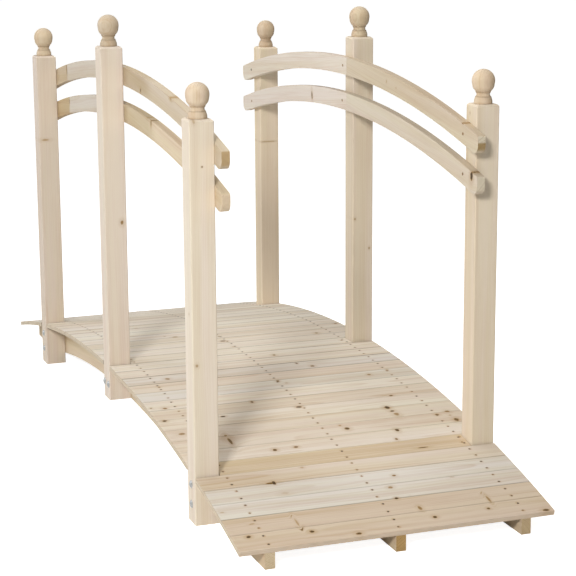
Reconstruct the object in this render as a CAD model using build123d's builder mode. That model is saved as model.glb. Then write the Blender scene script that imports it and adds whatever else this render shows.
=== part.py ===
from build123d import *

import os
from math import cos, degrees, sin, sqrt

# Arched garden footbridge of planed softwood. X runs along the span with the near end
# at +X, +Y is the right-hand side seen from the near end, and Z = 0 is the ground.
# All sizes are in millimetres.

# Deck
deck_length = 2309  # along the arch
deck_width = 773
end_boards = 5  # boards between a post pair and the end of the deck
bay_boards = 11  # boards between two post pairs
board_gap = 1
board_thickness = 12
board_edge_chamfer = 0.8

# Stringers
arch_radius = 4655  # top edge of the stringers
stringer_depth = 85
stringer_thickness = 24
stringer_end_height = 38

# Posts
post_side = 60
post_length = 960
post_top_chamfer = 5
post_edge_radius = 3

# Handrails
rail_radius = 3560  # top edge of either rail
rail_depth = 48
rail_thickness = 20
rail_overhang = 50  # past the outer face of an end post
rail_drop = 54  # from the top of a middle post down to the crown of the upper rail
rail_spacing = 97.5  # from the upper rail down to the lower one
rail_lap = 60  # half-lap of the two lengths of a rail, centred on the middle post
rail_top_round = 8
rail_bottom_round = 22

# Finials
finial_ball_diameter = 56
finial_ball_height = 54.5  # centre of the ball above the post
finial_bulb_start = 12  # degrees below the ball's widest line where the bulb leaves it
finial_bulb_diameter = 50.5
finial_bulb_height = 38.5
finial_bead_diameter = 37.8
finial_bead_height = 28
finial_bead_thickness = 2.2
finial_bead_root_diameter = 36.4  # where the bead meets the bulb above and the neck below
finial_neck_diameter = 32.4
finial_neck_height = 22.3
finial_collar_diameter = 38.5  # top of the base
finial_collar_height = 17
finial_base_diameter = 44.8  # widest line of the base
finial_base_height = 6
finial_foot_diameter = 43
finial_dowel_diameter = 12
finial_dowel_length = 30

# Bolts
bolt_diameter = 8
bolt_head_diameter = 20
bolt_head_height = 5
washer_diameter = 22
washer_thickness = 1.8
nut_across_flats = 13
nut_height = 6.5
bolt_end_length = 3  # thread that stands past the nut
bolt_spacing_end_posts = 49  # one above the other
bolt_spacing_middle_posts = 38  # side by side

# Clearances
seat_clearance = 0.3  # flat boards over the curved stringers
post_clearance = 1.5  # deck boards round the posts
seam_gap = 0.5
bolt_hole_clearance = 0.5
dowel_clearance = 0.3
dowel_hole_extra_depth = 2

# Layout of the arch
post_row = bay_boards + 1
last_board = post_row + end_boards
board_pitch = (deck_length + board_gap) / (2 * last_board + 1)
board_width = board_pitch - board_gap
board_angle = board_pitch / arch_radius
half_angle = deck_length / 2 / arch_radius
half_span = arch_radius * sin(half_angle)
crown_height = stringer_end_height + arch_radius * (1 - cos(half_angle))
arch_centre = crown_height - arch_radius
underside_radius = arch_radius - stringer_depth
foot_start = sqrt(underside_radius**2 - arch_centre**2)
deck_seat = arch_radius + seat_clearance

# Layout of the posts
end_post_x = (deck_seat + board_thickness / 2) * sin(post_row * board_angle)
post_y = (deck_width - post_side) / 2
post_inner_y = post_y - post_side / 2
middle_post_base = arch_centre + underside_radius
rows = {"far": -end_post_x, "middle": 0, "near": end_post_x}
sides = {"left": -1, "right": 1}
halves = {"far": -1, "near": 1}


def stringer_middle(x):
    """Height of the middle of a stringer's depth at x."""
    return arch_centre + sqrt((arch_radius - stringer_depth / 2) ** 2 - x**2)


def bolt_points(row):
    """Places (x, z) of the two bolts that hold the posts of a row."""
    x = rows[row]
    z = stringer_middle(x)
    if row == "middle":
        half = bolt_spacing_middle_posts / 2
        return [(x - half, z), (x + half, z)]
    half = bolt_spacing_end_posts / 2
    return [(x, z - half), (x, z + half)]


def across(x, y, z):
    """Plane at a point that faces along +Y, for what is drilled or bolted across the bridge."""
    return Plane(origin=(x, y, z), x_dir=(1, 0, 0), z_dir=(0, 1, 0))


def save(part, name):
    part.label = name
    export_step(part, f"parts/{name}.step")


os.makedirs("parts", exist_ok=True)

# Stringers: a curved top, a concentric underside and flat feet. Each is two halves that
# meet at mid span, where a bolt on either side of the joint holds them to the middle posts.
stringer_places = {
    "left": -post_inner_y + stringer_thickness / 2,
    "middle": 0,
    "right": post_inner_y - stringer_thickness / 2,
}
for place, y in stringer_places.items():
    for half, direction in halves.items():
        with BuildPart() as stringer:
            with BuildSketch(Plane.XZ.offset(-y)):
                with BuildLine():
                    ThreePointArc(
                        (-half_span, stringer_end_height), (0, crown_height), (half_span, stringer_end_height)
                    )
                    Polyline((half_span, stringer_end_height), (half_span, 0), (foot_start, 0))
                    ThreePointArc((foot_start, 0), (0, middle_post_base), (-foot_start, 0))
                    Polyline((-foot_start, 0), (-half_span, 0), (-half_span, stringer_end_height))
                make_face()
            extrude(amount=stringer_thickness / 2, both=True)
            split(
                bisect_by=Plane.YZ.offset(direction * seam_gap / 2),
                keep=Keep.TOP if direction > 0 else Keep.BOTTOM,
            )
            if place in sides:
                for row in rows:
                    for x, z in bolt_points(row):
                        if x * direction > 0:
                            with Locations(across(x, y, z)):
                                Hole(bolt_diameter / 2 + bolt_hole_clearance)
        save(stringer.part, f"stringer_{place}_{half}")

# Posts: all of one length, so the middle pair stands higher
for row, x in rows.items():
    for side, sign in sides.items():
        foot = middle_post_base if row == "middle" else 0
        with BuildPart() as post:
            with Locations((x, sign * post_y, foot)):
                Box(post_side, post_side, post_length, align=(Align.CENTER, Align.CENTER, Align.MIN))
            chamfer(post.faces().sort_by(Axis.Z)[-1].edges(), post_top_chamfer)
            fillet(post.edges().filter_by(Axis.Z), post_edge_radius)
            with Locations((x, sign * post_y, foot + post_length)):
                Hole(
                    finial_dowel_diameter / 2 + dowel_clearance,
                    depth=finial_dowel_length + dowel_hole_extra_depth,
                )
            for bolt_x, bolt_z in bolt_points(row):
                with Locations(across(bolt_x, sign * post_y, bolt_z)):
                    Hole(bolt_diameter / 2 + bolt_hole_clearance)
        save(post.part, f"post_{row}_{side}")

# Finial: turned in one piece, a base, a hollow neck, a thin bead and a ball that swells out
# of a bulb, with a dowel that goes into the post
bead_top = finial_bead_height + finial_bead_thickness / 2
bead_bottom = finial_bead_height - finial_bead_thickness / 2
bead_root = finial_bead_root_diameter / 2
with BuildPart() as finial:
    with BuildSketch(Plane.XZ):
        with BuildLine():
            dowel = Polyline(
                (0, -finial_dowel_length),
                (finial_dowel_diameter / 2, -finial_dowel_length),
                (finial_dowel_diameter / 2, 0),
                (finial_foot_diameter / 2, 0),
            )
            base = Spline(
                dowel @ 1,
                (finial_base_diameter / 2, finial_base_height),
                (finial_collar_diameter / 2, finial_collar_height),
                tangents=[(0.3, 1), (-0.2, 1)],
            )
            neck = ThreePointArc(
                base @ 1, (finial_neck_diameter / 2, finial_neck_height), (bead_root, bead_bottom)
            )
            bead = ThreePointArc(
                neck @ 1, (finial_bead_diameter / 2, finial_bead_height), (bead_root, bead_top)
            )
            ball = CenterArc(
                (0, finial_ball_height), finial_ball_diameter / 2, -finial_bulb_start, 90 + finial_bulb_start
            )
            Spline(
                bead @ 1,
                (finial_bulb_diameter / 2, finial_bulb_height),
                ball @ 0,
                tangents=[(0.9, 1), ball % 0],
            )
            Line(ball @ 1, dowel @ 0)
        make_face()
    revolve(axis=Axis.Z)
for row, x in rows.items():
    for side, sign in sides.items():
        foot = middle_post_base if row == "middle" else 0
        placed = Pos(x, sign * post_y, foot + post_length) * finial.part
        save(placed, f"finial_{row}_{side}")

# Handrails: each in a far and a near length, half-lapped over the middle post
rail_end = end_post_x + post_side / 2 + rail_overhang
upper_crown = middle_post_base + post_length - rail_drop
rail_levels = {"upper": upper_crown, "lower": upper_crown - rail_spacing}
rail_lengths = {"far": (-rail_end, rail_lap / 2), "near": (-rail_lap / 2, rail_end)}


def rail_edge(x, drop):
    """Height of a rail's curve at x below its crown, for the edge that lies drop below the top."""
    radius = rail_radius - drop
    return sqrt(radius**2 - x**2) - rail_radius


for level, crown in rail_levels.items():
    for side, sign in sides.items():
        for half, (start, end) in rail_lengths.items():
            middle = (start + end) / 2
            with BuildPart() as rail:
                with BuildSketch(Plane.XZ.offset(-sign * post_inner_y)):
                    with BuildLine():
                        top = ThreePointArc(*[(x, crown + rail_edge(x, 0)) for x in (start, middle, end)])
                        under = ThreePointArc(
                            *[(x, crown + rail_edge(x, rail_depth)) for x in (start, middle, end)]
                        )
                        Line(top @ 0, under @ 0)
                        Line(top @ 1, under @ 1)
                    make_face()
                extrude(amount=sign * rail_thickness)
                lap_y = sign * (post_inner_y - rail_thickness / 2) - halves[half] * rail_thickness / 4
                with Locations((0, lap_y, crown - rail_depth / 2)):
                    Box(
                        rail_lap + 2 * seam_gap,
                        rail_thickness / 2,
                        2 * rail_depth,
                        mode=Mode.SUBTRACT,
                    )
                for corner, radius in ((0, rail_bottom_round), (-1, rail_top_round)):
                    across_edges = rail.edges().filter_by(Axis.Y).group_by(Axis.X)
                    free_end = across_edges[0 if half == "far" else -1].sort_by(Axis.Z)
                    fillet(free_end[corner], radius)
            save(rail.part, f"{level}_rail_{side}_{half}")

# Deck boards: flat boards that follow the arch, counted from the middle of the span
board_lengths = {
    "full": deck_width,
    "short": 2 * (post_inner_y - post_clearance),  # fits between the posts of a pair
}
board_groups = {
    "deck_boards_far_end": range(-last_board, -post_row),
    "deck_board_far_posts": [-post_row],
    "deck_boards_far_bay": range(-post_row + 1, 0),
    "deck_board_middle_posts": [0],
    "deck_boards_near_bay": range(1, post_row),
    "deck_board_near_posts": [post_row],
    "deck_boards_near_end": range(post_row + 1, last_board + 1),
}
boards = {}
for kind, length in board_lengths.items():
    with BuildPart() as board:
        Box(board_width, length, board_thickness, align=(Align.CENTER, Align.CENTER, Align.MIN))
        top_edges = board.faces().sort_by(Axis.Z)[-1].edges().filter_by(Axis.Y)
        chamfer(top_edges, board_edge_chamfer)
    boards[kind] = board.part

for name, numbers in board_groups.items():
    kind = "short" if len(numbers) == 1 else "full"
    with BuildPart() as group:
        for number in numbers:
            angle = number * board_angle
            seat = Location(
                (deck_seat * sin(angle), 0, arch_centre + deck_seat * cos(angle)), (0, degrees(angle), 0)
            )
            with Locations(seat):
                add(boards[kind])
        # Clears the posts where they are wider than the short board's row
        for x in rows.values():
            for sign in sides.values():
                with Locations((x, sign * post_y, 0)):
                    Box(
                        post_side + 2 * post_clearance,
                        post_side + 2 * post_clearance,
                        2 * post_length,
                        mode=Mode.SUBTRACT,
                    )
    save(group.part, name)

# Bolts: a domed head on the post's outer face, a washer and nut inside the stringer
grip = post_side + stringer_thickness
bolt_end = -(grip + washer_thickness + nut_height + bolt_end_length)
with BuildPart() as bolt:
    with BuildSketch(Plane.XZ):
        with BuildLine():
            dome = TangentArc((0, bolt_head_height), (bolt_head_diameter / 2, 0), tangent=(1, 0))
            Polyline(
                dome @ 1, (bolt_diameter / 2, 0), (bolt_diameter / 2, bolt_end), (0, bolt_end), dome @ 0
            )
        make_face()
    revolve(axis=Axis.Z)
    with BuildSketch(Plane.XY.offset(-grip)):
        Circle(washer_diameter / 2)
    extrude(amount=-washer_thickness)
    with BuildSketch(Plane.XY.offset(-grip - washer_thickness)):
        RegularPolygon(nut_across_flats / 2, 6, major_radius=False)
    extrude(amount=-nut_height)
for row in rows:
    for side, sign in sides.items():
        with BuildPart() as bolts:
            for x, z in bolt_points(row):
                outer_face = Plane(
                    origin=(x, sign * (post_y + post_side / 2), z), x_dir=(1, 0, 0), z_dir=(0, sign, 0)
                )
                with Locations(outer_face):
                    add(bolt.part)
        save(bolts.part, f"bolts_{row}_{side}")
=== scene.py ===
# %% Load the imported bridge
from math import asin, atan2, cos, pi, radians, sin

import bmesh
import bpy
from mathutils import Matrix, Vector


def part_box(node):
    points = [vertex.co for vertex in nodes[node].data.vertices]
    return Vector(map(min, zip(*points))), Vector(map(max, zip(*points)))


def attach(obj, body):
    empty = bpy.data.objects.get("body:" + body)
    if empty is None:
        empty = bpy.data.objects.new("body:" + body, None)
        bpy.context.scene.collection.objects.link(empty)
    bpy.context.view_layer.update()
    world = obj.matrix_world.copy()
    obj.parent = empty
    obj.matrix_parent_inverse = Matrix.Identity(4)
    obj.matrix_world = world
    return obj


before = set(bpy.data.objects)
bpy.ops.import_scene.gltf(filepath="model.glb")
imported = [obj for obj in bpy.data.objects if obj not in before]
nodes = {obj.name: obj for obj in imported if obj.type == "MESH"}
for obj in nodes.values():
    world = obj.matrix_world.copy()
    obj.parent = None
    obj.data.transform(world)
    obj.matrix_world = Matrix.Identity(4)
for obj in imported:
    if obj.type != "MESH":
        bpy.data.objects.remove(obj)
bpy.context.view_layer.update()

print("nodes in the frame:", len(nodes))

# %% [markdown]
# # A garden moon bridge in raw softwood
#
# The solids of this bridge come from a CAD model and already have the right shape: three arched
# planks under the deck, 35 boards, six posts with turned finials and two arched rails on each
# side. Everything here is bare, planed, knotty softwood, so the work in Blender is to turn plain
# solids into timber: grain that runs the way each piece was sawn, end grain where it was cut,
# knots, one tone for each board, and the small metal heads of nails, screws and bolts.
#
# First comes the camera, because some of what follows is placed by looking through it. Its place
# was found by matching the corners of the posts, the boards and the rails with the photograph.
# It is given as a direction to the bridge, a place and a long lens, the way a photographer would
# note it down.

# %% Camera
PICTURE = 576                     # pixels along each side of the photograph
LENS_PIXELS = 1872.93             # focal length in the photograph's pixels
CAMERA_AT = Vector((4.8276, -1.5946, 1.5132))
CAMERA_AZIMUTH, CAMERA_ELEVATION, CAMERA_ROLL = radians(70.2087), radians(12.6657), radians(-0.343)


def camera_axes():
    """The camera's right, up and backward directions."""
    back = Vector((sin(CAMERA_AZIMUTH) * cos(CAMERA_ELEVATION),
                   -cos(CAMERA_AZIMUTH) * cos(CAMERA_ELEVATION), sin(CAMERA_ELEVATION)))
    level = Vector((cos(CAMERA_AZIMUTH), sin(CAMERA_AZIMUTH), 0))
    upright = back.cross(level)
    right = cos(CAMERA_ROLL) * level + sin(CAMERA_ROLL) * upright
    return right, back.cross(right), back


camera = bpy.data.objects.new("camera", bpy.data.cameras.new("camera"))
bpy.context.scene.collection.objects.link(camera)
camera.data.sensor_width = 36
camera.data.lens = LENS_PIXELS / PICTURE * camera.data.sensor_width
camera.matrix_world = Matrix.Translation(CAMERA_AT) @ Matrix(camera_axes()).transposed().to_4x4()
bpy.context.scene.camera = camera
print("lens:", round(camera.data.lens, 1), "mm")

# %% [markdown]
# A point that can be seen in the photograph can be found on the bridge by shooting a ray through
# its pixel and noting which piece it hits. That way a knot sits on the wood that carries it, seen
# from any side, and nothing has to be guessed from the picture's perspective.

# %% Find what a pixel shows
bpy.context.view_layer.update()


def seen_at(across, down):
    """The piece, the point and the face's direction behind a pixel of the photograph."""
    right, up, back = camera_axes()
    ray = right * (across - PICTURE / 2) - up * (down - PICTURE / 2) - back * LENS_PIXELS
    graph = bpy.context.evaluated_depsgraph_get()
    hit, point, normal, _, piece, _ = bpy.context.scene.ray_cast(graph, CAMERA_AT, ray.normalized())
    return (piece.name, point, normal) if hit else (None, None, None)


print("middle of the picture:", seen_at(288, 430)[0])

# %% [markdown]
# Shader nodes are easier to read when each line makes one node and joins it up, so a few small
# helpers come first. `put` adds a node and feeds its inputs, `maths` and `vector` do the same for
# arithmetic, `ease` and `mix` blend, and `colour` turns the 0 to 255 values that a colour picker
# shows into the linear values that Blender works with. An effect that several materials use is
# made once, as a node group: `group_of_nodes` starts one and `use` places it in a material.

# %% Helpers for shader nodes
def feed(tree, socket, value):
    """Joins a socket to another, or gives it a plain value."""
    if isinstance(value, bpy.types.NodeSocket):
        tree.links.new(value, socket)
    else:
        socket.default_value = value


def put(tree, kind, feeds=None, **settings):
    """Adds a shader node, sets it up and feeds its inputs by name or number."""
    node = tree.nodes.new("ShaderNode" + kind)
    for name, value in settings.items():
        setattr(node, name, value)
    for place, value in (feeds or {}).items():
        feed(tree, node.inputs[place], value)
    return node


def maths(tree, operation, *values, clamp=False):
    return put(tree, "Math", dict(enumerate(values)), operation=operation,
               use_clamp=clamp).outputs[0]


def vector(tree, operation, *values):
    node = put(tree, "VectorMath", dict(enumerate(values)), operation=operation)
    return node.outputs["Value" if operation in ("LENGTH", "DOT_PRODUCT") else "Vector"]


def ease(tree, value, low, high):
    """Rises smoothly from 0 where the value is low to 1 where it is high."""
    feeds = {"Value": value, "From Min": low, "From Max": high}
    return put(tree, "MapRange", feeds, interpolation_type="SMOOTHSTEP").outputs[0]


def mix(tree, amount, under, over, blend="MIX"):
    """Lays one colour over another."""
    return put(tree, "Mix", {0: amount, 6: under, 7: over}, data_type="RGBA",
               blend_type=blend).outputs[2]


def colour(red, green, blue):
    """A colour as a picker shows it, made linear for Blender."""
    return tuple(((part / 255 + 0.055) / 1.055) ** 2.4 for part in (red, green, blue)) + (1,)


def group_of_nodes(name, inputs, outputs):
    """An empty node group with named inputs and outputs, and the sockets to build between."""
    group = bpy.data.node_groups.new(name, "ShaderNodeTree")
    for way, sockets in (("INPUT", inputs), ("OUTPUT", outputs)):
        for title, kind in sockets.items():
            group.interface.new_socket(title, in_out=way, socket_type="NodeSocket" + kind)
    given, result = group.nodes.new("NodeGroupInput"), group.nodes.new("NodeGroupOutput")
    return group, given.outputs, result.inputs


def use(tree, group, feeds):
    """Places a node group in a tree and returns its outputs."""
    node = tree.nodes.new("ShaderNodeGroup")
    node.node_tree = group
    for title, value in feeds.items():
        feed(tree, node.inputs[title], value)
    return node.outputs


def new_material(name):
    """A material with its tree of nodes and its shader."""
    material = bpy.data.materials.new(name)
    material.use_nodes = True
    return material, material.node_tree, material.node_tree.nodes["Principled BSDF"]


print("raw cream wood is", [round(part, 2) for part in colour(226, 210, 186)[:3]])

# %% [markdown]
# ## Grain
#
# A tree grows a pale and a dark layer each year, wrapped round its pith like the walls of nested
# tubes. A sawn plank shows that wherever it is cut: thin lines on a quarter face, wide flames on
# a flat face, arcs on the ends. So the grain is made as a solid, not painted on each face: the
# distance from the pith line is divided into rings, the rings wander a little along the trunk,
# and long thin noise adds fibres. From a few steps away a raw planed plank is mostly soft, wide
# streaks, some straw yellow and some pink, so two slower noises lay those over the rings.
#
# The group works in the trunk's own directions: X along the grain, with the pith at Y = Z = 0.

# %% Node group: softwood grain
# How often each noise changes in a metre: along the grain, then twice across it.
CLOUDS, STREAKS, HUES, FIBRES = (1.6, 9, 9), (1.3, 54, 54), (0.9, 34, 34), (11, 520, 520)
SWAY = 0.022                      # how far the rings wander, in metres
CLOUD_WEIGHT, STREAK_WEIGHT, LINE_WEIGHT = 1.1, 1.9, 0.6
PINKISH, STRAW = colour(255, 252, 252), colour(254, 253, 246)

grain, given, result = group_of_nodes(
    "softwood grain",
    {"Grain Position": "Vector", "Ring Spacing": "Float", "Contrast": "Float",
     "Pale Wood": "Color", "Ring Tint": "Color"},
    {"Colour": "Color", "Relief": "Float"})


def drawn_out(place, often, **settings):
    """Noise that is long along the grain and short across it."""
    feeds = {"Vector": vector(grain, "MULTIPLY", place, often), "Scale": 1, **settings}
    return put(grain, "TexNoise", feeds).outputs


clouds = drawn_out(given["Grain Position"], CLOUDS, Detail=2)
sway = vector(grain, "MULTIPLY", vector(grain, "SUBTRACT", clouds["Color"], (0.5, 0.5, 0.5)),
              (0, SWAY, SWAY))
wandering = vector(grain, "ADD", given["Grain Position"], sway)
from_pith = vector(grain, "LENGTH", vector(grain, "MULTIPLY", wandering, (0, 1, 1)))
years = maths(grain, "DIVIDE", from_pith, given["Ring Spacing"])
within_year = maths(grain, "FRACT", years)
late_wood = maths(grain, "MULTIPLY", maths(grain, "POWER", within_year, 2.2),
                  maths(grain, "SUBTRACT", 1, ease(grain, within_year, 0.9, 1.0)))
good_year = put(grain, "TexWhiteNoise", {"W": maths(grain, "FLOOR", years)},
                noise_dimensions="1D")
rings = maths(grain, "MULTIPLY", late_wood,
              maths(grain, "MULTIPLY_ADD", good_year.outputs["Value"], 0.75, 0.25))
fibre = drawn_out(wandering, FIBRES, Detail=3)["Fac"]
ringed = maths(grain, "MULTIPLY", rings, LINE_WEIGHT)
fibrous = maths(grain, "MULTIPLY", maths(grain, "SUBTRACT", fibre, 0.5), LINE_WEIGHT)
lines = maths(grain, "ADD", fibrous, ringed)
cloudy = maths(grain, "MULTIPLY_ADD", maths(grain, "SUBTRACT", clouds["Fac"], 0.5),
               CLOUD_WEIGHT, lines)
streak = drawn_out(wandering, STREAKS, Detail=4, Roughness=0.62)["Fac"]
tone = maths(grain, "MULTIPLY_ADD", maths(grain, "SUBTRACT", streak, 0.42), STREAK_WEIGHT, cloudy)
hue = drawn_out(wandering, HUES, Detail=2)["Fac"]
warmth = mix(grain, ease(grain, hue, 0.3, 0.7), PINKISH, STRAW)
warm = mix(grain, 1, given["Pale Wood"], warmth, "MULTIPLY")
strength = maths(grain, "MULTIPLY", tone, given["Contrast"], clamp=True)
feed(grain, result["Colour"], mix(grain, strength, warm, given["Ring Tint"], "MULTIPLY"))
feed(grain, result["Relief"], lines)
print("softwood grain:", len(grain.nodes), "nodes")

# %% [markdown]
# ## Knots
#
# A knot is a branch that the trunk grew round. It crosses the plank like a peg, and the grain
# bends round it as water does round a stone. Each knot is one small group: it measures how far a
# point is from the peg in the peg's own lengths, darkens what is inside, warms the wood just
# outside, and squeezes the grain towards its middle line, so that the lines outside bulge. A
# branch that the saw met lengthwise shows as a spike across the board, which is the same knot,
# only much wider than it is long. Groups can be chained: the position and the mask pass from one
# to the next.
#
# Small pin knots are too many to place by hand. A Voronoi texture scatters them: each cell gets
# a random number, and only a few of the cells show their knot.

# %% Node group: one knot
# In the knot's own radii: where it and the warm halo round it begin, and where they are full.
KNOT_EDGE, HALO_EDGE = (1.25, 0.45), (2.8, 0.9)
HALO_DARKNESS, RAGGEDNESS, BENDING = 0.22, 0.55, -0.3

knot, given, result = group_of_nodes(
    "knot",
    {"Grain Position": "Vector", "Knots": "Float", "Centre": "Vector", "Reach": "Vector",
     "Across": "Vector", "Darkness": "Float"},
    {"Grain Position": "Vector", "Knots": "Float"})

offset = vector(knot, "SUBTRACT", given["Grain Position"], given["Centre"])
ragged = put(knot, "TexNoise", {"Vector": given["Grain Position"], "Scale": 210, "Detail": 1})
in_radii = vector(knot, "LENGTH", vector(knot, "MULTIPLY", offset, given["Reach"]))
jitter = maths(knot, "SUBTRACT", ragged.outputs["Fac"], 0.5)
distance = maths(knot, "MULTIPLY_ADD", jitter, RAGGEDNESS, in_radii)
inside = ease(knot, distance, *KNOT_EDGE)
halo = maths(knot, "MULTIPLY", ease(knot, distance, *HALO_EDGE), HALO_DARKNESS)
shown = maths(knot, "MULTIPLY", maths(knot, "MAXIMUM", inside, halo), given["Darkness"])
feed(knot, result["Knots"], maths(knot, "MAXIMUM", given["Knots"], shown))
fading = maths(knot, "MULTIPLY", maths(knot, "POWER", distance, 2), BENDING)
squeeze = maths(knot, "EXPONENT", fading)
bend = vector(knot, "MULTIPLY", vector(knot, "MULTIPLY", offset, given["Across"]),
              put(knot, "CombineXYZ", {0: squeeze, 1: squeeze, 2: squeeze}).outputs[0])
feed(knot, result["Grain Position"], vector(knot, "SUBTRACT", given["Grain Position"], bend))
print("one knot:", len(knot.nodes), "nodes")

# %% Node group: scattered pin knots
pin_knots, given, result = group_of_nodes(
    "pin knots",
    {"Grain Position": "Vector", "Knots": "Float", "Spacing": "Float", "Radius": "Float",
     "Share": "Float"},
    {"Knots": "Float"})

per_cell = maths(pin_knots, "DIVIDE", 1, given["Spacing"])
cells = put(pin_knots, "TexVoronoi", {"Vector": given["Grain Position"], "Scale": per_cell})
chance = put(pin_knots, "SeparateXYZ", {0: cells.outputs["Color"]}).outputs
radius = maths(pin_knots, "MULTIPLY", maths(pin_knots, "MULTIPLY", given["Radius"], per_cell),
               maths(pin_knots, "MULTIPLY_ADD", chance[1], 1.2, 0.4))
near = maths(pin_knots, "DIVIDE", cells.outputs["Distance"], radius)
spot = maths(pin_knots, "MAXIMUM", ease(pin_knots, near, 1.25, 0.5),
             maths(pin_knots, "MULTIPLY", ease(pin_knots, near, 3, 0.9), 0.18))
chosen = maths(pin_knots, "LESS_THAN", chance[0], given["Share"])
depth = maths(pin_knots, "MULTIPLY_ADD", chance[2], 0.5, 0.4)
seen = maths(pin_knots, "MULTIPLY", maths(pin_knots, "MULTIPLY", spot, chosen), depth)
feed(pin_knots, result["Knots"], maths(pin_knots, "MAXIMUM", given["Knots"], seen))
print("pin knots:", len(pin_knots.nodes), "nodes")

# %% [markdown]
# ## From trunk to finished face
#
# The next group dresses the grain for the face that is looked at. Where the face points along
# the grain it was cut across the fibres: such end grain drinks more light and looks darker and
# yellower. Knots are laid over the wood in two steps, ochre where they are faint and dark brown
# where they are strong. The same group works out a height for the bump and a roughness, so that
# a knot is a little glossier than the dry wood round it.

# %% Node group: sawn face
CUT_ACROSS = (0.55, 0.95)         # how far a face looks along the grain, as a cosine
END_LINES, OCHRE = colour(170, 140, 100), colour(164, 126, 66)
DRY_ROUGHNESS, KNOT_GLOSS, KNOT_HEIGHT = 0.72, 0.08, 0.6

face, given, result = group_of_nodes(
    "sawn face",
    {"Wood": "Color", "Relief": "Float", "Knots": "Float", "Normal": "Vector",
     "Grain Direction": "Vector", "End Wood": "Color", "Knot Wood": "Color"},
    {"Colour": "Color", "Roughness": "Float", "Height": "Float"})

facing = vector(face, "DOT_PRODUCT", given["Normal"], given["Grain Direction"])
end_grain = ease(face, maths(face, "ABSOLUTE", facing), *CUT_ACROSS)
lined = maths(face, "MULTIPLY", given["Relief"], 1.3, clamp=True)
sawn_across = mix(face, lined, given["End Wood"], END_LINES, "MULTIPLY")
cut = mix(face, end_grain, given["Wood"], sawn_across)
ochre = mix(face, maths(face, "MULTIPLY", given["Knots"], 1.5, clamp=True), cut, OCHRE)
brown = mix(face, ease(face, given["Knots"], 0.35, 0.95), ochre, given["Knot Wood"])
feed(face, result["Colour"], brown)
dry = maths(face, "MULTIPLY_ADD", given["Relief"], -0.1, DRY_ROUGHNESS)
resin = maths(face, "MULTIPLY", given["Knots"], KNOT_GLOSS)
feed(face, result["Roughness"], maths(face, "SUBTRACT", dry, resin))
raised = maths(face, "MULTIPLY_ADD", given["Knots"], KNOT_HEIGHT, given["Relief"])
feed(face, result["Height"], raised)
print("sawn face:", len(face.nodes), "nodes")

# %% [markdown]
# Three small groups change the colour of a piece before the grain is drawn on it. The first lays a
# grey-brown film on the faces that look up. The second passes from one tone to another along a
# direction, for a browner length or a bleached end. The last paints shade: dark lines beside the
# bead and the collar of a finial, where shade falls in its creases, and a painted contact shadow
# at its foot.

# %% Node groups: darker tops, two tones and painted groove shade
EDGE_TINT = colour(160, 142, 116)
SHADE_LINE_HEIGHTS = (0, 0.017, 0.0269, 0.0291)      # heights of the painted shade lines above the finial's foot, the first at the foot itself
SHADE_LINE_EDGE = (0.0018, 0.0005)            # how far from its middle a line begins and is full

darker_on_top, given, result = group_of_nodes(
    "darker on top", {"Pale Wood": "Color", "Normal": "Vector"}, {"Colour": "Color"})
up = put(darker_on_top, "SeparateXYZ", {0: given["Normal"]}).outputs[2]
# the faces that look up are tinted grey-brown, by up to 30 %
top_tint = maths(darker_on_top, "MULTIPLY", ease(darker_on_top, up, 0.6, 0.95), 0.3)
feed(darker_on_top, result["Colour"], mix(darker_on_top, top_tint, given["Pale Wood"], EDGE_TINT, "MULTIPLY"))

parted, given, result = group_of_nodes(
    "two tones",
    {"Position": "Vector", "Direction": "Vector", "Low": "Float", "High": "Float",
     "Low Tone": "Color", "High Tone": "Color"},
    {"Colour": "Color"})
along = vector(parted, "DOT_PRODUCT", given["Position"], given["Direction"])
feed(parted, result["Colour"], mix(parted, ease(parted, along, given["Low"], given["High"]),
                                   given["Low Tone"], given["High Tone"]))

groove_shade, given, result = group_of_nodes(
    "painted groove shade", {"Pale Wood": "Color", "Position": "Vector", "Foot": "Float"},
    {"Colour": "Color"})
level = put(groove_shade, "SeparateXYZ", {0: given["Position"]}).outputs[2]
height = maths(groove_shade, "SUBTRACT", level, given["Foot"])
apart = 1
for groove in SHADE_LINE_HEIGHTS:
    from_groove = maths(groove_shade, "ABSOLUTE", maths(groove_shade, "SUBTRACT", height, groove))
    apart = maths(groove_shade, "MINIMUM", apart, from_groove)
# painted shade: each line darkens the wood by up to 45 %, in the creases and at the foot
line = maths(groove_shade, "MULTIPLY", ease(groove_shade, apart, *SHADE_LINE_EDGE), 0.45)
feed(groove_shade, result["Colour"], mix(groove_shade, line, given["Pale Wood"], EDGE_TINT, "MULTIPLY"))
print("nodes in the tone groups:", [len(group.nodes) for group in (darker_on_top, parted, groove_shade)])

# %% [markdown]
# ## One material for each plank
#
# No two planks of a bridge come from the same place in the trunk, so every wooden piece gets its
# own material: the same groups, with another place in the trunk, another tone and its own knots.
# A short random shift, seeded with the piece's name, puts the pith to one side of the plank.
#
# `timber` asks a piece for three things through a function called `lie`: where a point lies in
# the trunk's own directions, how far that is shifted from the pith, and the tone of the wood. A
# straight piece only has its axes put in another order, so that X runs along its grain.

# %% Timber for straight pieces
from random import Random

RING_TINT, KNOT_WOOD = colour(214, 186, 151), colour(62, 42, 14)
RING_SPACING = 0.0036             # one year of growth, in metres
PIN_SPACING, PIN_RADIUS, PIN_SHARE = 0.085, 0.0028, 0.04
FIBRE_HEIGHT = 0.0004             # for the bump
TRUNK_LENGTH, FROM_PITH = 9, (0.03, 0.07)     # where a plank may lie in its trunk
AXES = "xyz"
ARCHES = {"rail": 3.536, "stringer": 4.6}     # radius of a curved piece's middle line


def in_order(tree, point, order, slope):
    """The same vector turned level and with its axes in another order, such as zxy."""
    level = put(tree, "VectorRotate", {"Vector": point, "Angle": slope},
                rotation_type="Y_AXIS").outputs[0]
    parts = put(tree, "SeparateXYZ", {0: level}).outputs
    swapped = {at: parts[AXES.index(axis)] for at, axis in enumerate(order)}
    return put(tree, "CombineXYZ", swapped).outputs[0]


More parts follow.
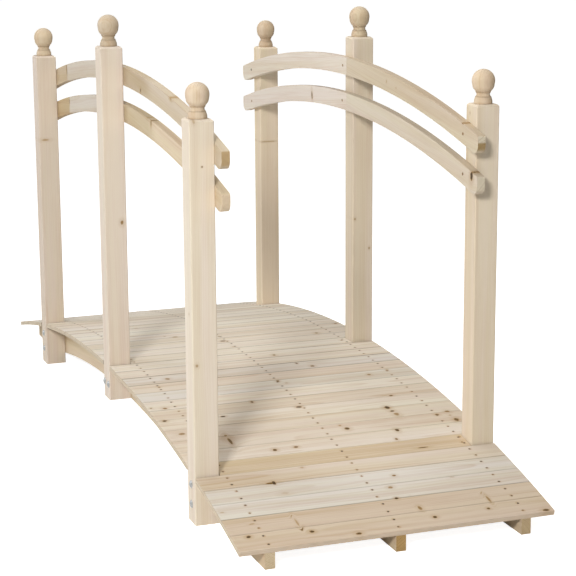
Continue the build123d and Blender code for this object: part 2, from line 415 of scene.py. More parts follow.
def timber(name, lie, direction, knots, end_wood, contrast):
    """A wooden material. end_wood is a colour, or a function that makes one from a point."""
    material, tree, shader = new_material(name)
    here = put(tree, "TexCoord").outputs
    place, shift, pale = lie(tree, here["Object"])
    mask = use(tree, pin_knots, {
        "Grain Position": vector(tree, "ADD", place, shift), "Spacing": PIN_SPACING,
        "Radius": PIN_RADIUS, "Share": PIN_SHARE})["Knots"]
    for peg in knots:
        place, mask = use(tree, knot, {"Grain Position": place, "Knots": mask, **peg}).values()
    wood = use(tree, grain, {
        "Grain Position": vector(tree, "ADD", place, shift), "Ring Spacing": RING_SPACING,
        "Contrast": contrast, "Pale Wood": pale, "Ring Tint": RING_TINT})
    sawn = use(tree, face, {
        "Wood": wood["Colour"], "Relief": wood["Relief"], "Knots": mask, "Normal": here["Normal"],
        "Grain Direction": direction, "Knot Wood": KNOT_WOOD,
        "End Wood": end_wood(tree, here["Object"]) if callable(end_wood) else end_wood})
    bump = put(tree, "Bump", {"Height": sawn["Height"], "Strength": 0.25, "Distance": FIBRE_HEIGHT})
    shader.inputs["Specular IOR Level"].default_value = 0.3
    for socket, value in (("Base Color", sawn["Colour"]), ("Roughness", sawn["Roughness"]),
                          ("Normal", bump.outputs[0])):
        feed(tree, shader.inputs[socket], value)
    return material


def dress(node, material):
    """Gives a CAD piece its material, in every slot it has."""
    for slot in nodes[node].material_slots:
        slot.material = material


def plank_slope(node):
    """How far a curved piece's plank leans: level at the crown, and more towards its ends."""
    radius = next((radius for curved, radius in ARCHES.items() if curved in node), None)
    low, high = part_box(node)
    return -asin((low.x + high.x) / 2 / radius) if radius else 0


def straight(node, order, tone):
    """How the grain lies in a straight piece: its axes in order, beside a pith of its own."""
    low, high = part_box(node)
    chance = Random(node)
    slope = plank_slope(node)
    middle = Matrix.Rotation(slope, 3, "Y") @ ((low + high) / 2)
    aside = {axis: chance.choice((-1, 1)) * chance.uniform(*FROM_PITH) for axis in order[1:]}
    shift = [chance.uniform(0, TRUNK_LENGTH)]
    shift += [aside[axis] - middle[AXES.index(axis)] for axis in order[1:]]

    def lie(tree, point):
        return in_order(tree, point, order, slope), tuple(shift), tone
    return lie


print("helpers for timber ready")

# %% [markdown]
# ## Where the knots are
#
# The knots that catch the eye in the photograph are listed: the pixel of the middle, then
# the length along the grain, the width across it and how dark it is. The ray through the pixel
# says which piece carries it and through which face the peg goes.

# %% Knots seen in the photograph
DECK_KNOTS = [
    (277.8, 381, 11, 13, 0.7), (286.5, 383, 11, 10, 0.35), (252, 402, 10, 14, 0.75),
    (299, 407, 17, 12, 0.95), (223, 416.5, 15, 9, 1.0), (387, 407.5, 16, 20, 0.9),
    (391.5, 410.5, 15, 12, 0.8), (396.5, 414, 16, 26, 0.55), (447, 411.5, 16, 14, 0.6),
    (450, 415, 8, 10, 0.4), (456.5, 419.5, 15, 22, 0.75), (437, 414.5, 13, 11, 0.7),
    (225.5, 435.5, 9, 11, 0.6), (230, 441, 10, 46, 0.75), (227, 438, 44, 50, 0.22),
    (296, 447, 14, 10, 0.75), (275, 450, 13, 14, 0.8), (340, 425.5, 8, 9, 0.5),
    (347, 428.5, 16, 17, 0.8), (397, 430, 12, 18, 0.85), (396.5, 439, 9, 13, 0.7),
    (423, 447.5, 32, 6, 0.75), (462, 442, 8, 8, 0.6), (459.5, 436.5, 8, 9, 0.5),
    (302, 467.5, 10, 9, 0.4), (271, 483.5, 32, 11, 0.7), (274, 483, 10, 11, 0.9),
    (285, 493, 22, 12, 0.25), (222, 512.5, 12, 6, 0.35), (297, 522.5, 6, 36, 0.45),
    (300.5, 527, 12, 9, 0.75), (292.5, 518, 7, 7, 0.5), (252, 524, 16, 5, 0.5),
    (312, 531.5, 14, 11, 0.85), (248.5, 537, 13, 11, 0.9), (359, 533.5, 17, 11, 0.8),
    (394, 475.5, 12, 10, 0.65), (390.5, 487.5, 15, 12, 0.55), (396.5, 498.5, 11, 9, 1.0),
    (420, 508, 12, 20, 0.6), (488.5, 499, 8, 36, 0.55), (482.5, 494.5, 10, 7, 0.45),
    (488.5, 508.5, 11, 9, 0.75), (435, 517, 13, 11, 0.85), (546, 510, 19, 11, 0.85),
    (452, 477, 14, 9, 0.25), (391, 395.5, 13, 9, 0.75), (384, 395.7, 34, 4, 0.35),
    (369, 374.5, 12, 13, 0.6), (387, 370, 13, 15, 0.45), (136, 328.5, 13, 10, 0.4),
    (164.5, 336.5, 8, 8, 0.5), (175, 337, 20, 18, 0.5), (219, 336.5, 9, 9, 0.6),
    (223, 341, 20, 16, 0.75), (233.5, 346.5, 12, 10, 0.4), (274, 355, 12, 16, 0.6),
    (296.5, 363.3, 7, 12, 0.9), (312.5, 366, 14, 15, 0.75), (316.5, 333, 14, 16, 0.6),
    (341.5, 340.3, 10, 9, 0.6), (335.5, 323.5, 12, 14, 0.6), (151, 408.3, 7, 7, 0.6),
    (165, 408.5, 14, 13, 0.6), (164.5, 421, 13, 13, 0.85), (182, 434, 22, 14, 0.6),
    (167.5, 379, 16, 15, 0.6), (159, 387.3, 9, 9, 0.6),
]
UPRIGHT_KNOTS = [
    (45, 140, 8, 26, 0.45), (122, 222.5, 14, 10, 0.6), (193.5, 121.5, 12, 8, 0.35),
    (202, 167, 4, 4, 0.8), (189, 314.2, 7, 4, 0.45), (197, 366, 9, 8, 0.45),
    (268.5, 141.5, 5, 64, 0.4), (355, 219, 8, 6, 0.5), (369, 248, 9, 6, 0.5),
    (140.5, 90.5, 10, 12, 0.9), (171, 97.5, 22, 16, 0.45), (151, 122, 10, 26, 0.7),
    (149, 117.5, 10, 6, 0.4), (66.8, 70, 9, 44, 0.75), (69.5, 101.5, 6, 18, 0.8),
    (312, 95.5, 11, 28, 0.75), (386.5, 81.5, 7, 10, 0.4), (396, 88, 8, 5, 0.3),
    (466, 123, 9, 6, 0.65), (471.5, 176, 16, 26, 1.0), (470, 113, 9, 4, 0.5),
]
MM = 1000                         # millimetres in a metre
knots_on = {}
for across, down, length, width, darkness in DECK_KNOTS + UPRIGHT_KNOTS:
    piece, point, normal = seen_at(across, down)
    if piece:
        knots_on.setdefault(piece, []).append((point, normal, length / MM, width / MM, darkness))
print("knots found on:", {piece: len(found) for piece, found in knots_on.items()})


def peg(centre, through, length, width, darkness):
    """The knot group's inputs for a branch that crosses the piece along one axis."""
    reach, across = [2 / length, 2 / width, 2 / width], [0, 1, 1]
    reach[through] = across[through] = 0
    return {"Centre": tuple(centre), "Reach": tuple(reach), "Across": tuple(across),
            "Darkness": darkness}


def straight_pegs(node, order):
    """The seen knots of a straight piece: across a rail, and through the seen face of a post."""
    pegs = []
    level = Matrix.Rotation(plank_slope(node), 3, "Y")
    for point, normal, *size in knots_on.get(node, []):
        turned = [(level @ point)[AXES.index(axis)] for axis in order]
        through_y = order == "xyz" or abs(normal.y) > abs(normal.x)
        pegs.append(peg(turned, order.index("y" if through_y else "x"), *size))
    return pegs

# %% [markdown]
# ## Posts, finials, rails and stringers
#
# Posts and finials have upright grain, while rails and stringers were cut as curves from
# straight planks, so their grain follows the chord of each length and runs out at its curved
# edges.
#
# Every piece came from another plank, and the photograph shows it: the tones are listed piece by
# piece, from the cool pale near posts to the browner rails on the left. The sawn end of the
# middle stringer is the darkest wood of all, and the two right rails have ends that are bleached
# above and brown below. The right rails are darker on the faces that look up, and the left rails
# turn browner along their length.

# %% Dress the straight pieces
PIECE_TONES = {
    "post_far_left": colour(217, 204, 189), "post_middle_left": colour(225, 213, 199),
    "post_near_left": colour(228, 217, 201), "post_far_right": colour(230, 215, 191),
    "post_middle_right": colour(225, 213, 195), "post_near_right": colour(226, 213, 193),
    "finial_far_left": colour(212, 195, 170), "finial_middle_left": colour(202, 187, 165),
    "finial_near_left": colour(216, 199, 176), "finial_far_right": colour(208, 190, 164),
    "finial_middle_right": colour(210, 194, 169), "finial_near_right": colour(214, 195, 169),
    "rail_left_far": colour(207, 198, 184), "rail_right_far": colour(226, 217, 205),
    "upper_rail_left_near": colour(207, 194, 173), "lower_rail_left_near": colour(219, 203, 177),
    "upper_rail_right_near": colour(209, 196, 175), "lower_rail_right_near": colour(218, 208, 192),
    "stringer": colour(212, 194, 166),
}
PALE_END, BROWN_END = colour(212, 201, 178), colour(160, 136, 94)
DOWEL_LENGTH = 0.030              # hidden in the post, below a finial's foot
BLEACH_EDGE = 0.003               # half the height in which one tone passes into the other
CONTRASTS = {"post": 0.36, "finial": 0.66, "rail": 0.56, "stringer": 0.56}


def two_tone(height):
    """End wood that is bleached above a height and brown below it."""
    return lambda tree, point: use(tree, parted, {
        "Position": point, "Direction": (0, 0, 1), "Low": height - BLEACH_EDGE,
        "High": height + BLEACH_EDGE, "Low Tone": BROWN_END, "High Tone": PALE_END})["Colour"]


def with_tone(lie, change):
    """The same lie of the grain, with its tone passed through one of the tone groups."""
    def changed(tree, point):
        place, shift, pale = lie(tree, point)
        return place, shift, change(tree, point, pale)
    return changed


def darker_top_edge(tree, point, pale):
    """A grey-brown tint on the faces that look up."""
    normal = put(tree, "TexCoord").outputs["Normal"]
    return use(tree, darker_on_top, {"Pale Wood": pale, "Normal": normal})["Colour"]


def browner_beyond(node):
    """Browner wood beyond a place that the photograph shows."""
    pixel, fade, tone = BROWNER_LENGTHS[node]
    start = seen_at(*pixel)[1].x
    return lambda tree, point, pale: use(tree, parted, {
        "Position": point, "Direction": (1, 0, 0), "Low": start - fade, "High": start + fade,
        "Low Tone": tone, "High Tone": pale})["Colour"]


def turned(node):
    """Painted shade in a finial's grooves and at its foot, above the hidden dowel."""
    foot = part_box(node)[0].z + DOWEL_LENGTH
    return lambda tree, point, pale: use(tree, groove_shade, {
        "Pale Wood": pale, "Position": point, "Foot": foot})["Colour"]


# Where each of these rails turns browner, over how long, and the browner tone it turns to.
BROWNER_LENGTHS = {
    "upper_rail_left_far": ((66.8, 70), 0.008, colour(194, 177, 150)),
    "lower_rail_left_far": ((69.5, 101.5), 0.008, colour(188, 167, 131)),
    "upper_rail_left_near": ((148, 88), 0.05, colour(190, 174, 148)),
    "lower_rail_left_near": ((152, 124), 0.05, colour(199, 183, 154)),
}
END_WOODS = {
    "stringer_left": colour(205, 186, 154), "stringer_middle": colour(178, 146, 94),
    "stringer_right": colour(190, 168, 132), "upper_rail_left": colour(184, 158, 118),
    "lower_rail_left": colour(214, 194, 166), "upper_rail_right": two_tone(seen_at(483, 143)[1].z),
    "lower_rail_right": two_tone(seen_at(480, 192)[1].z),
}
for node in nodes:
    tone = next((tone for piece, tone in PIECE_TONES.items() if piece in node), None)
    if tone:
        kind = next(kind for kind in CONTRASTS if kind in node)
        order, direction = ("zxy", (0, 0, 1)) if kind in ("post", "finial") else ("xyz", (1, 0, 0))
        end_wood = next((wood for piece, wood in END_WOODS.items() if node.startswith(piece)), tone)
        lie = straight(node, order, tone)
        if kind == "rail":
            lie = with_tone(lie, browner_beyond(node) if node in BROWNER_LENGTHS else darker_top_edge)
        elif kind == "finial":
            lie = with_tone(lie, turned(node))
        dress(node, timber(node.replace("_", " ") + " wood", lie, direction,
                           straight_pegs(node, order), end_wood, CONTRASTS[kind]))
        print(node, "dressed, knots:", len(knots_on.get(node, [])))

# %% [markdown]
# ## Deck boards
#
# The boards lie round the arch, and several of them share one piece of the model. One more group
# first bends the arch flat: the angle round the arch's centre says which board a point is on,
# and how far it is from the middle of that board. Through white noise, the board's number picks
# its own place in the trunk. The last few millimetres of a board are darker, with dust in the
# joints and painted shade there, most of all beyond the crown. The wood is also stained brown in a
# small ring round each nail.

# %% Node group: boards on an arch
ARCH_RADIUS, BOARD_PITCH, BOARD_THICKNESS = 4.655, 0.066, 0.012
BOARD_ANGLE = BOARD_PITCH / ARCH_RADIUS
ARCH_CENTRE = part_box("deck_board_middle_posts")[0].z - ARCH_RADIUS
# One letter for each board's tone, from the far end to the near one, in the model's groups;
# the near-white boards beyond the crown also carry a painted sheen.
BOARD_TONES_AND_SHEEN = "wpwww" "w" "wpwwpwwwpww" "w" "wpgcgpcpccp" "h" "cggtt"
NAIL_ROWS, NAIL_PAIR = 0.313, 0.033           # spacing of the rows, and of the two nails of a pair
LAST_BOARD = len(BOARD_TONES_AND_SHEEN) // 2
JOINT_EDGE = (BOARD_PITCH / 2 - 0.0032, BOARD_PITCH / 2 - 0.0006)
STAIN_EDGE = (0.0068, 0.003)                  # radii where the rust stain begins and is full
UNDARKENED_FROM = BOARD_ANGLE * (LAST_BOARD + 0.45)    # no joint darkening, by dust or painted shade, on the last board's free edge
TRUNK_START, TRUNK_SPREAD = (0, -0.055, 0.025), (7, 0.11, 0.09)   # where boards lie in the trunk

arched, given, result = group_of_nodes(
    "boards on an arch", {"Position": "Vector"},
    {"Grain Position": "Vector", "To Pith": "Vector", "Board": "Float", "Joint Dirt And Shade": "Float",
     "Rust": "Float"})
x, y, z = put(arched, "SeparateXYZ", {0: given["Position"]}).outputs
height = maths(arched, "SUBTRACT", z, ARCH_CENTRE)
angle = maths(arched, "ARCTAN2", x, height)
board = maths(arched, "ROUND", maths(arched, "DIVIDE", angle, BOARD_ANGLE))
radius = vector(arched, "LENGTH", put(arched, "CombineXYZ", {0: x, 1: height}).outputs[0])
along_arch = maths(arched, "MULTIPLY", angle, ARCH_RADIUS)
feed(arched, result["Board"], board)
feed(arched, result["Grain Position"], put(arched, "CombineXYZ", {
    0: y, 1: along_arch, 2: maths(arched, "SUBTRACT", radius, ARCH_RADIUS)}).outputs[0])
chance = put(arched, "TexWhiteNoise", {"W": board}, noise_dimensions="1D").outputs["Color"]
board_middle = maths(arched, "MULTIPLY", board, BOARD_PITCH)
to_pith = vector(arched, "MULTIPLY_ADD", chance, TRUNK_SPREAD, TRUNK_START)
feed(arched, result["To Pith"], vector(arched, "SUBTRACT", to_pith, put(
    arched, "CombineXYZ", {1: board_middle}).outputs[0]))
off_middle = maths(arched, "ABSOLUTE", maths(arched, "SUBTRACT", along_arch, board_middle))
joint = maths(arched, "LESS_THAN", maths(arched, "ABSOLUTE", angle), UNDARKENED_FROM)
# Joint darkening: dust of random strength, plus painted shade that grows from board 8 to the crown
# and is full beyond it.
edge = maths(arched, "MULTIPLY", ease(arched, off_middle, *JOINT_EDGE), joint)
luck = put(arched, "SeparateXYZ", {0: chance}).outputs[0]
joint_dust_and_shade = maths(arched, "MULTIPLY_ADD", maths(arched, "POWER", luck, 2), 0.45,
             maths(arched, "MULTIPLY", ease(arched, board, 8, 0), 0.55))
feed(arched, result["Joint Dirt And Shade"], maths(arched, "MULTIPLY", edge, joint_dust_and_shade))
from_nail = vector(arched, "LENGTH", put(arched, "CombineXYZ", {
    0: maths(arched, "WRAP", y, NAIL_ROWS / 2, -NAIL_ROWS / 2),
    1: maths(arched, "SUBTRACT", off_middle, NAIL_PAIR / 2)}).outputs[0])
stain = ease(arched, from_nail, *STAIN_EDGE)
feed(arched, result["Rust"], maths(arched, "MULTIPLY", stain, 0.35))
print("boards on an arch:", len(arched.nodes), "nodes")

# %% [markdown]
# Each of the seven pieces of the deck gets its own material from that group. A colour ramp with
# one flat stop for each board gives the board its tone: near white, pale, cream, grey, tan, or
# honey for the short board between the near posts. Beyond the crown the boards are mostly near
# white, which is partly their tone and partly a painted sheen, as they are seen at a grazing angle.

# %% Dress the boards
# w is near white: a board's tone, and beyond the crown a painted sheen as well
TONES = {"w": colour(230, 223, 211), "p": colour(224, 215, 201), "c": colour(218, 206, 190),
         "g": colour(218, 212, 203), "t": colour(208, 192, 172), "h": colour(212, 197, 171)}
JOINT_DIRT_AND_SHADE, RUST_TINT = colour(120, 94, 62), colour(176, 138, 82)
BOARD_END, BOARD_CONTRAST = colour(206, 191, 167), 0.66


def board_number(x):
    """The board that a length along the bridge falls on, counted from the middle."""
    return round(atan2(x, ARCH_RADIUS) / BOARD_ANGLE)


def on_arch(first, last):
    """How the grain lies in boards first to last of the deck."""
    tones = BOARD_TONES_AND_SHEEN[first + LAST_BOARD:last + LAST_BOARD + 1]

    def lie(tree, point):
        board = use(tree, arched, {"Position": point})
        ramp = put(tree, "ValToRGB", {0: maths(tree, "DIVIDE", maths(
            tree, "SUBTRACT", board["Board"], first - 0.5), len(tones))})
        stops = ramp.color_ramp.elements
        ramp.color_ramp.interpolation = "CONSTANT"
        stops.remove(stops[1])
        for number, letter in enumerate(tones):
            stop = stops.new(number / len(tones)) if number else stops[0]
            stop.position, stop.color = number / len(tones), TONES[letter]
        # the joints darkened by dust and painted shade
        joints_darkened = mix(tree, board["Joint Dirt And Shade"], ramp.outputs["Color"], JOINT_DIRT_AND_SHADE, "MULTIPLY")
        return board["Grain Position"], board["To Pith"], mix(tree, board["Rust"], joints_darkened, RUST_TINT)
    return lie


def board_pegs(node):
    """The seen knots of the deck, laid out flat in the same way."""
    return [peg((point.y, atan2(point.x, point.z - ARCH_CENTRE) * ARCH_RADIUS, 0), 2, *size)
            for point, _, *size in knots_on.get(node, [])]


for node in nodes:
    if node.startswith("deck"):
        low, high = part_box(node)
        first = board_number(low.x + BOARD_PITCH / 2)
        last = board_number(high.x - BOARD_PITCH / 2)
        dress(node, timber(node.replace("_", " ") + " wood", on_arch(first, last), (0, 1, 0),
                           board_pegs(node), BOARD_END, BOARD_CONTRAST))
        print(node, "has boards", first, "to", last)

# %% [markdown]
# ## Zinc on the bolts
#
# The coach bolts, washers and nuts are zinc plated. Zinc is a grey metal with a patchy bloom, so
# one fine noise mottles both its colour and its roughness.

# %% Bolts
zinc, tree, shader = new_material("bright zinc")
bloom = put(tree, "TexNoise", {"Vector": put(tree, "TexCoord").outputs["Object"], "Scale": 260,
                               "Detail": 3}).outputs["Fac"]
feed(tree, shader.inputs["Base Color"],
     mix(tree, bloom, colour(176, 176, 173), colour(108, 109, 107)))
feed(tree, shader.inputs["Roughness"], maths(tree, "MULTIPLY_ADD", bloom, 0.35, 0.25))
shader.inputs["Metallic"].default_value = 1
for node in nodes:
    if node.startswith("bolts"):
        dress(node, zinc)
print("bolts are zinc")

# %% [markdown]
# ## Nails and screws
#
# Each board is held by two nails over each stringer, which makes 210 nail heads in three double
# rows. Their places follow a rule, so Geometry Nodes make them: a cloud of points is numbered,
# and each number is turned into a board, a row and a side of the board. The numbers that set the
# rule are inputs of the tree, and the hammer's wander is random with a fixed seed. The steel is
# dull and rusty in patches, which is why the heads look like brown dots from a distance.

# %% Helpers for geometry nodes
def geometry_tree(name, sizes):
    """An empty geometry node tree with a named input for each size."""
    tree = bpy.data.node_groups.new(name, "GeometryNodeTree")
    tree.interface.new_socket("Geometry", in_out="OUTPUT", socket_type="NodeSocketGeometry")
    for title, value in sizes.items():
        kind = {int: "Int", float: "Float", bpy.types.Material: "Material"}[type(value)]
        tree.interface.new_socket(title, in_out="INPUT", socket_type="NodeSocket" + kind)
    return tree, tree.nodes.new("NodeGroupInput").outputs, tree.nodes.new("NodeGroupOutput").inputs


def place_node(tree, kind, feeds=None, **settings):
    """Adds a geometry node, or a function node by its full name, and feeds its inputs."""
    node = tree.nodes.new(kind if kind.startswith("Function") else "GeometryNode" + kind)
    for name, value in settings.items():
        setattr(node, name, value)
    for place, value in (feeds or {}).items():
        feed(tree, node.inputs[place], value)
    return node.outputs


def finished(tree, heads, material):
    """Turns instances into real faces of one material, because the export drops instances."""
    real = place_node(tree, "RealizeInstances", {0: heads})[0]
    return place_node(tree, "SetMaterial", {"Geometry": real, "Material": material})[0]


def grown(name, tree, sizes):
    """Runs a geometry node tree with these sizes and keeps the result as a plain mesh object."""
    host = bpy.data.objects.new(name + " host", bpy.data.meshes.new(name + " host"))
    bpy.context.scene.collection.objects.link(host)
    modifier = host.modifiers.new("grow", "NODES")
    modifier.node_group = tree
    for socket in tree.interface.items_tree:
        if socket.in_out == "INPUT":
            modifier[socket.identifier] = sizes[socket.name]
    graph = bpy.context.evaluated_depsgraph_get()
    mesh = bpy.data.meshes.new_from_object(host.evaluated_get(graph))
    bpy.data.objects.remove(host)
    piece = bpy.data.objects.new(name, mesh)
    bpy.context.scene.collection.objects.link(piece)
    return piece


def triangles(piece):
    """How many triangles the faces of a piece make."""
    return sum(len(polygon.vertices) - 2 for polygon in piece.data.polygons)


print("geometry node helpers ready")

# %% Nail heads along the deck
steel, tree, shader = new_material("dull steel")
dirt = put(tree, "TexNoise", {"Vector": put(tree, "TexCoord").outputs["Object"], "Scale": 45,
                              "Detail": 3}).outputs["Fac"]
feed(tree, shader.inputs["Base Color"],
     mix(tree, ease(tree, dirt, 0.4, 0.6), colour(138, 106, 62), colour(62, 44, 24)))
feed(tree, shader.inputs["Roughness"], maths(tree, "MULTIPLY_ADD", dirt, 0.3, 0.35))
shader.inputs["Metallic"].default_value = 0.2

HEAD_SIDES, HEAD_RINGS, HEAD_FLATNESS = 12, 4, 0.22
nail_sizes = {"Boards": len(BOARD_TONES_AND_SHEEN), "Board Angle": BOARD_ANGLE,
              "Deck Radius": ARCH_RADIUS + BOARD_THICKNESS, "Arch Centre": ARCH_CENTRE,
              "Row Spacing": NAIL_ROWS, "Pair Spacing": NAIL_PAIR, "Wander": 0.0015,
              "Head Radius": 0.003, "Material": steel}
nail_tree, given, result = geometry_tree("nail heads along an arch", nail_sizes)
t = nail_tree
number = place_node(t, "InputIndex")[0]
pair = maths(t, "MODULO", number, 2)
row = maths(t, "MODULO", maths(t, "FLOOR", maths(t, "DIVIDE", number, 2)), 3)
board = maths(t, "SUBTRACT", maths(t, "FLOOR", maths(t, "DIVIDE", number, 6)),
              maths(t, "MULTIPLY", maths(t, "SUBTRACT", given["Boards"], 1), 0.5))
wander = place_node(t, "FunctionNodeRandomValue",
                    {"Min": (-1, -1, 0), "Max": (1, 1, 0), "Seed": 11}, data_type="FLOAT_VECTOR")[0]
astray = put(t, "VectorMath", {0: wander, "Scale": given["Wander"]}, operation="SCALE").outputs[0]
stray = put(t, "SeparateXYZ", {0: astray}).outputs
arc = maths(t, "MULTIPLY_ADD", maths(t, "SUBTRACT", pair, 0.5), given["Pair Spacing"], stray[0])
angle = maths(t, "ADD", maths(t, "MULTIPLY", board, given["Board Angle"]),
              maths(t, "DIVIDE", arc, given["Deck Radius"]))
x = maths(t, "MULTIPLY", maths(t, "SINE", angle), given["Deck Radius"])
y = maths(t, "MULTIPLY_ADD", maths(t, "SUBTRACT", row, 1), given["Row Spacing"], stray[1])
z = maths(t, "MULTIPLY_ADD", maths(t, "COSINE", angle), given["Deck Radius"], given["Arch Centre"])
spots = place_node(t, "Points", {0: maths(t, "MULTIPLY", given["Boards"], 6),
                                 1: put(t, "CombineXYZ", {0: x, 1: y, 2: z}).outputs[0]})[0]
dome = place_node(t, "MeshUVSphere", {0: HEAD_SIDES, 1: HEAD_RINGS, 2: given["Head Radius"]})[0]
head = place_node(t, "Transform", {"Geometry": dome, "Scale": (1, 1, HEAD_FLATNESS)})[0]
lean = put(t, "CombineXYZ", {1: angle}).outputs[0]
heads = place_node(t, "InstanceOnPoints", {"Points": spots, "Instance": head, "Rotation": lean})[0]
feed(t, result[0], finished(t, heads, given["Material"]))

nails = grown("deck_nails", nail_tree, nail_sizes)
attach(nails, "root")
print("nail heads:", len(nails.data.polygons) // (HEAD_SIDES * HEAD_RINGS),
      "triangles:", triangles(nails))

# %% [markdown]
# The rails are held by one long screw in each post. The head of a wood screw is a disc with a
# cross cut into it, so one head is modelled and Geometry Nodes set it twelve times: three
# along each rail, on the face that looks at the walkway, at the middle of the rail's depth.

# %% One screw head
def screw_head(radius=0.0036, height=0.0007, arm=0.0021, blade=0.00055):
    """A flat head with a cross recess, facing up, with its back open in the wood."""
    mesh = bmesh.new()
    corners = [(arm, -blade), (arm, blade), (blade, blade), (blade, arm), (-blade, arm),
               (-blade, blade)]
    corners += [(-x, -y) for x, y in corners]
    rim = [(radius * cos(turn * pi / 12), radius * sin(turn * pi / 12)) for turn in range(24)]
    loops = []
    for outline, grow, z in ((rim, 1.06, -0.0004), (rim, 1.06, height * 0.6), (rim, 0.97, height),
                             (corners, 1, height), (corners, 0.8, height * 0.25)):
        loops.append([mesh.verts.new((x * grow, y * grow, z)) for x, y in outline])
    for outer, inner in zip(loops, loops[1:]):
        edges = [mesh.edges.get((a, b)) or mesh.edges.new((a, b))
                 for loop in (outer, inner) for a, b in zip(loop, loop[1:] + loop[:1])]
        bmesh.ops.bridge_loops(mesh, edges=edges)
    mesh.faces.new(loops[-1])
    mesh.faces.new(loops[0][::-1])
    bmesh.ops.recalc_face_normals(mesh, faces=mesh.faces)
    data = bpy.data.meshes.new("screw head")
    mesh.to_mesh(data)
    pattern = bpy.data.objects.new("screw head", data)
    bpy.context.scene.collection.objects.link(pattern)
    return pattern


print("screw head ready")

# %% Screws along the rails
RAIL_TOP_RADIUS, RAIL_SPACING, END_POST_AT = 3.560, 0.0975, 0.786
SCREWS = 12
rail_low, rail_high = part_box("upper_rail_right_near")
screw_sizes = {"Reach": END_POST_AT, "Face": rail_low.y, "Crown": rail_high.z,
               "Radius": ARCHES["rail"], "Drop": RAIL_TOP_RADIUS, "Spacing": RAIL_SPACING,
               "Material": steel}
screw_tree, given, result = geometry_tree("screw heads on rails", screw_sizes)
t = screw_tree
pattern = screw_head()
number = place_node(t, "InputIndex")[0]
post = maths(t, "SUBTRACT", maths(t, "MODULO", number, 3), 1)
level = maths(t, "MODULO", maths(t, "FLOOR", maths(t, "DIVIDE", number, 3)), 2)
side = maths(t, "MULTIPLY_ADD", maths(t, "FLOOR", maths(t, "DIVIDE", number, 6)), 2, -1)
wander = place_node(t, "FunctionNodeRandomValue",
                    {"Min": (-0.004, 0, -0.002), "Max": (0.004, pi, 0.002), "Seed": 5},
                    data_type="FLOAT_VECTOR")[0]
stray = put(t, "SeparateXYZ", {0: wander}).outputs
x = maths(t, "MULTIPLY_ADD", post, given["Reach"], stray[0])
squares = maths(t, "SUBTRACT", maths(t, "POWER", given["Radius"], 2), maths(t, "POWER", x, 2))
below = maths(t, "MULTIPLY_ADD", level, given["Spacing"], given["Drop"])
crown = maths(t, "SUBTRACT", given["Crown"], below)
z = maths(t, "ADD", maths(t, "ADD", maths(t, "SQRT", squares), crown), stray[2])
spots = place_node(t, "Points", {0: SCREWS, 1: put(t, "CombineXYZ", {
    0: x, 1: maths(t, "MULTIPLY", side, given["Face"]), 2: z}).outputs[0]})[0]
turn = put(t, "CombineXYZ", {0: maths(t, "MULTIPLY", side, pi / 2)}).outputs[0]
spin = put(t, "CombineXYZ", {2: stray[1]}).outputs[0]
head = place_node(t, "ObjectInfo", {"Object": pattern})["Geometry"]
heads = place_node(t, "InstanceOnPoints", {"Points": spots, "Instance": head, "Rotation": turn})[0]
spun = place_node(t, "RotateInstances", {
    "Instances": heads, "Rotation": spin, "Local Space": True})[0]
feed(t, result[0], finished(t, spun, given["Material"]))

screws = grown("rail_screws", screw_tree, screw_sizes)
bpy.data.objects.remove(pattern)
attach(screws, "root")
print("screw heads:", SCREWS, "triangles:", triangles(screws))

# %% [markdown]
# ## Studio
#
# The photograph was lit by a large soft lamp to the left of the camera and above it: the posts'
# soft shadows on the deck run to the right and away. A weaker and cooler lamp fills in from the
# left, one hangs over the deck, and a little light comes from the whole sky. Together they are
# at a level where a colour looks as it is written. The background is white: the world shows
# white to the camera and to reflections but lights with less, and for the same rays the floor
# adds some white of its own, so that it only darkens where the bridge shades it.

# %% Floor, sky and lamps
SKY = (0.15, 0.144, 0.133, 1)     # what the world lights with
FLOOR_REACH, FLOOR_GREY, FLOOR_GLOW = 60, 0.8, 0.9
AIM = Vector((0, 0, 0.5))         # the middle of the bridge, where every lamp looks


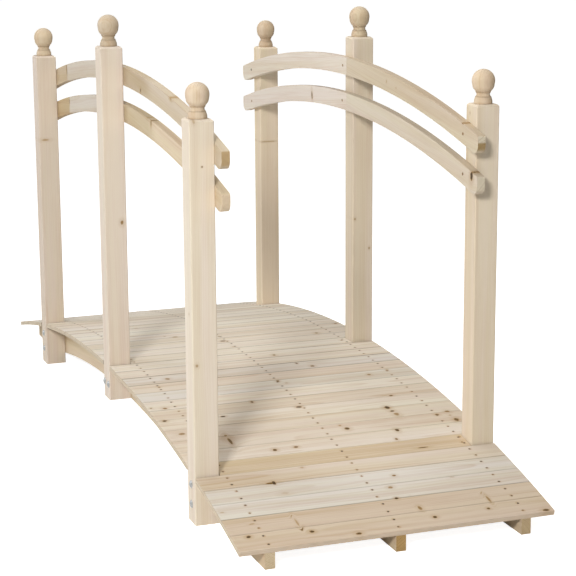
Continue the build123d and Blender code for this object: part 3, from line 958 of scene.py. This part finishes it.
def shown_directly(tree):
    """1 for rays from the camera and for reflected or refracted ones, 0 for light."""
    rays = put(tree, "LightPath").outputs
    return maths(tree, "MAXIMUM", rays["Is Camera Ray"],
                 maths(tree, "MAXIMUM", rays["Is Glossy Ray"], rays["Is Transmission Ray"]))


world = bpy.data.worlds.new("white studio")
bpy.context.scene.world = world
world.use_nodes = True
tree = world.node_tree
sky = tree.nodes["Background"]
feed(tree, sky.inputs["Color"], mix(tree, shown_directly(tree), SKY, (1, 1, 1, 1)))

floor = bpy.data.objects.new("floor", bpy.data.meshes.new("floor"))
floor.data.from_pydata([(x * FLOOR_REACH, y * FLOOR_REACH, 0)
                        for x, y in ((-1, -1), (1, -1), (1, 1), (-1, 1))], [], [(0, 1, 2, 3)])
bpy.context.scene.collection.objects.link(floor)
paper, tree, shader = new_material("white paper")
shader.inputs["Base Color"].default_value = (FLOOR_GREY, FLOOR_GREY, FLOOR_GREY, 1)
shader.inputs["Roughness"].default_value = 1
shader.inputs["Specular IOR Level"].default_value = 0
shader.inputs["Emission Color"].default_value = (1, 1, 1, 1)
feed(tree, shader.inputs["Emission Strength"],
     maths(tree, "MULTIPLY", shown_directly(tree), FLOOR_GLOW))
floor.data.materials.append(paper)


def lamp(name, azimuth, elevation, distance, size, power, tint=(1, 1, 1)):
    """A square soft lamp that looks at the middle of the bridge from a direction in degrees."""
    turn, rise = radians(azimuth), radians(elevation)
    toward = Vector((sin(turn) * cos(rise), -cos(turn) * cos(rise), sin(rise)))
    data = bpy.data.lights.new(name, "AREA")
    data.size, data.energy, data.color = size, power, tint
    light = bpy.data.objects.new(name, data)
    light.matrix_world = (Matrix.Translation(AIM + toward * distance)
                          @ toward.to_track_quat("Z", "Y").to_matrix().to_4x4())
    bpy.context.scene.collection.objects.link(light)


lamp("key", azimuth=57, elevation=25, distance=6, size=1.0, power=203)
lamp("left fill", azimuth=-28, elevation=20, distance=6, size=3.0, power=118, tint=(0.94, 1, 1.08))
lamp("top", azimuth=0, elevation=89, distance=4, size=2.5, power=84)
bpy.context.scene.view_settings.view_transform = "Standard"
